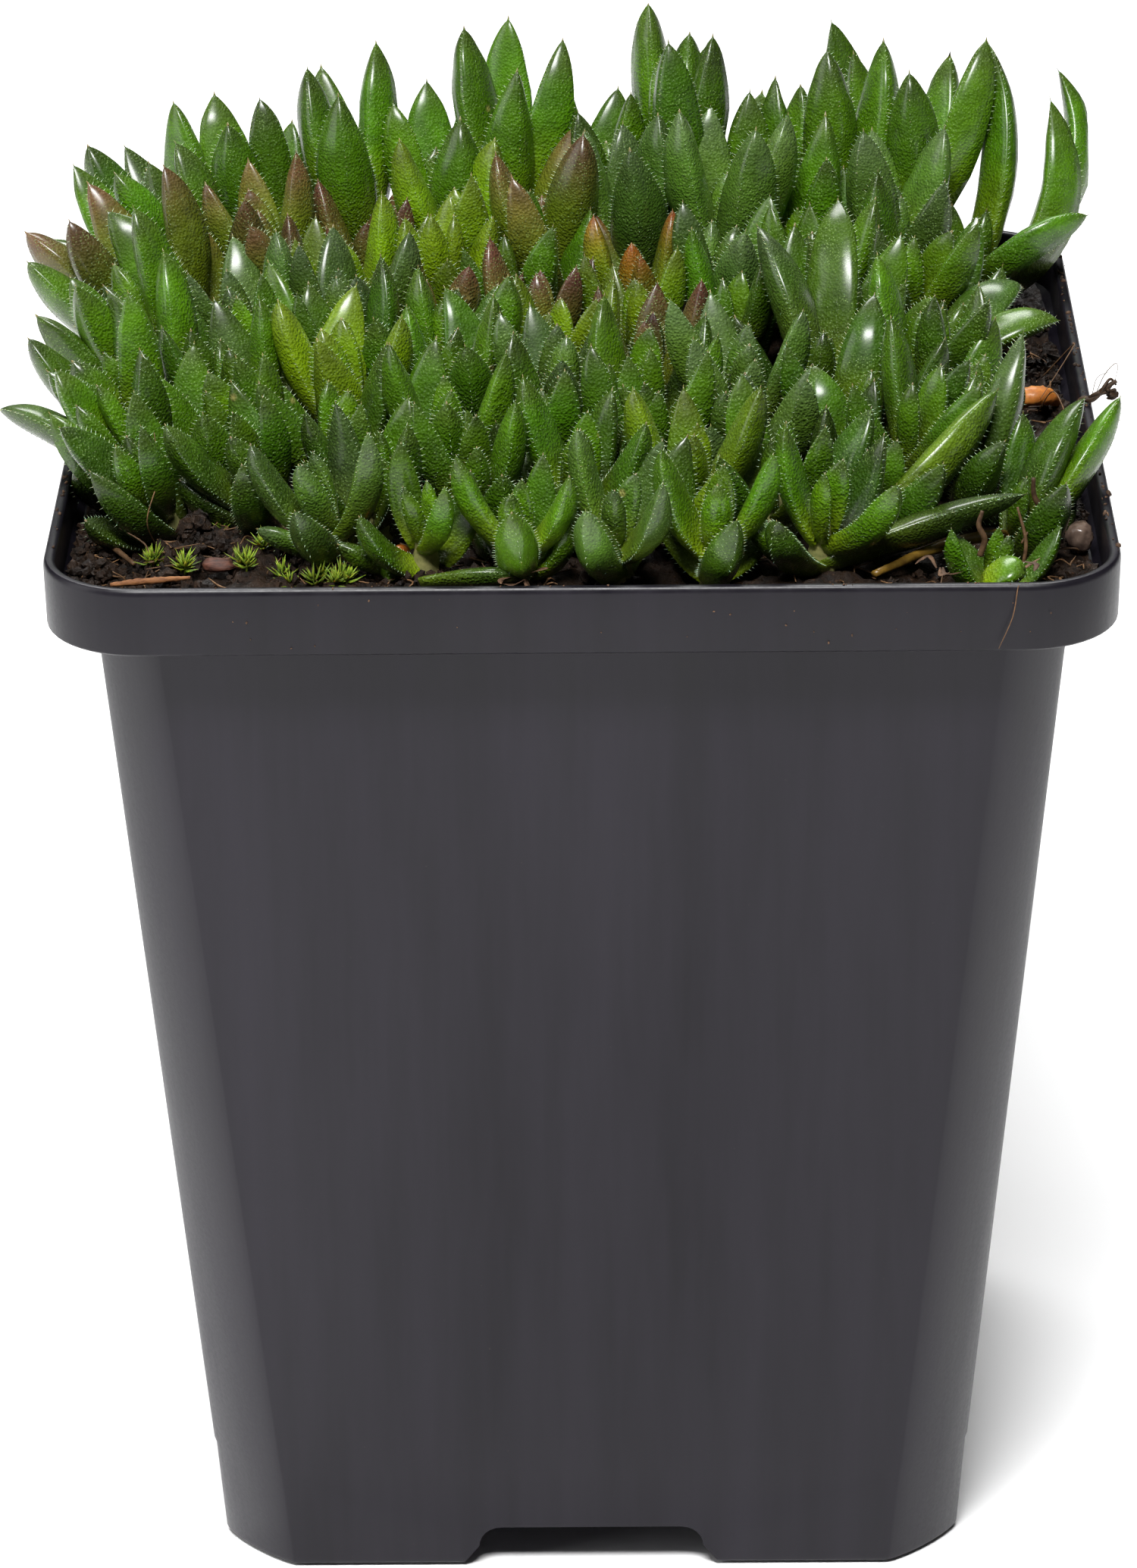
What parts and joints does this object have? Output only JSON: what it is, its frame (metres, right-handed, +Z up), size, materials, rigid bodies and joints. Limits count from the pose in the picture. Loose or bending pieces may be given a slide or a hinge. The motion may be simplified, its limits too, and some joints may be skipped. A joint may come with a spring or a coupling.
{
  "type": "potted ice plant",
  "caption": "Mat-forming ice plant with short three-sided fleshy leaves, in peat in a square black nursery pot.",
  "frame": {"origin": "middle of the underside of the pot, on the surface it stands on", "axes": "+Z up along the pot axis, +X to the right and -Y towards the viewer; the pot sides run along X and Y"},
  "size_m": [0.0979, 0.0941, 0.1232],
  "materials": {
    "pot_plastic": "satin black moulded plastic, a little worn and dusty",
    "peat": "damp dark peat, crumbly and matte",
    "leaf_green": "firm succulent leaf, satin skin with tiny clear bumps",
    "leaf_blue": "blue-green succulent leaf, finely granular",
    "leaf_yellow": "young yellow-green succulent leaf",
    "leaf_olive": "olive succulent leaf with a tan tip",
    "leaf_red": "red-brown stressed succulent leaf",
    "bead_orange": "translucent orange resin coat",
    "bead_brown": "glossy brown resin coat",
    "bark": "rough red-brown bark",
    "twig": "dry orange-brown twig",
    "dead_leaf": "shrivelled orange leaf"
  },
  "bodies": {
    "root": {"pot": "pot_plastic", "soil": "peat", "shoot_01": "leaf_green", "shoot_02": "leaf_green", "shoot_03": "leaf_green", "shoot_04": "leaf_green", "shoot_05": "leaf_green", "shoot_06": "leaf_green", "shoot_07": "leaf_green", "shoot_08": "leaf_green", "shoot_09": "leaf_green", "shoot_10": "leaf_green", "shoot_11": "leaf_green", "shoot_12": "leaf_olive", "shoot_13": "leaf_blue", "shoot_14": "leaf_olive", "shoot_15": "leaf_olive", "shoot_16": "leaf_yellow", "shoot_17": "leaf_yellow", "shoot_18": "leaf_blue", "shoot_19": "leaf_green", "shoot_20": "leaf_green", "shoot_21": "leaf_green", "shoot_22": "leaf_blue", "shoot_23": "leaf_blue", "shoot_24": "leaf_red", "shoot_25": "leaf_yellow", "shoot_26": "leaf_green", "shoot_27": "leaf_green", "shoot_28": "leaf_green", "shoot_29": "leaf_yellow", "shoot_30": "leaf_green", "shoot_31": "leaf_green", "shoot_32": "leaf_green", "shoot_33": "leaf_yellow", "shoot_34": "leaf_green", "shoot_35": "leaf_green", "shoot_36": "leaf_green", "shoot_37": "leaf_green", "shoot_38": "leaf_green", "shoot_39": "leaf_green", "shoot_40": "leaf_blue", "shoot_41": "leaf_green", "shoot_42": "leaf_green", "shoot_43": "leaf_green", "shoot_44": "leaf_green", "shoot_45": "leaf_green", "shoot_46": "leaf_yellow", "shoot_47": "leaf_green", "shoot_48": "leaf_green", "shoot_49": "leaf_green", "shoot_50": "leaf_green", "shoot_51": "leaf_green", "shoot_52": "leaf_green", "shoot_53": "leaf_green", "granule_orange": "bead_orange", "granule_brown": "bead_brown", "bark_chip": "bark", "twig": "twig", "dead_leaf": "dead_leaf"}
  },
  "joints": []
}
